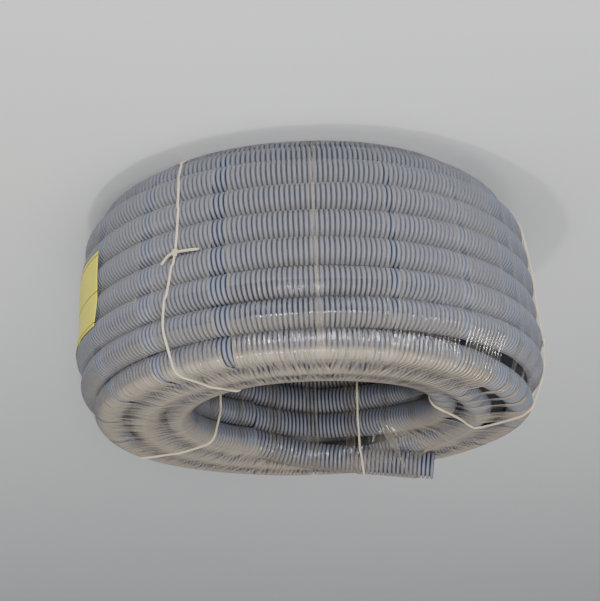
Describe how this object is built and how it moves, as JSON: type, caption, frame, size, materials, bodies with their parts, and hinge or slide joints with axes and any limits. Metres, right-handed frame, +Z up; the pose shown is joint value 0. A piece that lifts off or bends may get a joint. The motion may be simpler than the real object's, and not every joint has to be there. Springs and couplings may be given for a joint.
{
  "type": "coil of corrugated conduit",
  "caption": "Coil of light grey corrugated plastic conduit with an open free end, tied with twine and wrapped through the eye in clear stretch film, with a blank label.",
  "frame": {"origin": "centre of the flat underside that the coil lies on, on the coil's axis", "axes": "+Z up along the coil's axis, from the face that it lies on to the face with the free end; the picture looks along +Y and down"},
  "size_m": [0.524, 0.5238, 0.2925],
  "materials": {
    "conduit_plastic": "satin, light bluish grey",
    "clear_film": "clear, glossy, a little dusty",
    "label_paper": "matt yellow, blank",
    "twine": "cream, twisted"
  },
  "bodies": {
    "root": {"conduit": "conduit_plastic", "stretch_film": "clear_film", "label": "label_paper", "twine_tie_front_right": "twine", "twine_tie_back_right": "twine", "twine_tie_back_left": "twine", "twine_tie_front_left": "twine"}
  },
  "joints": []
}
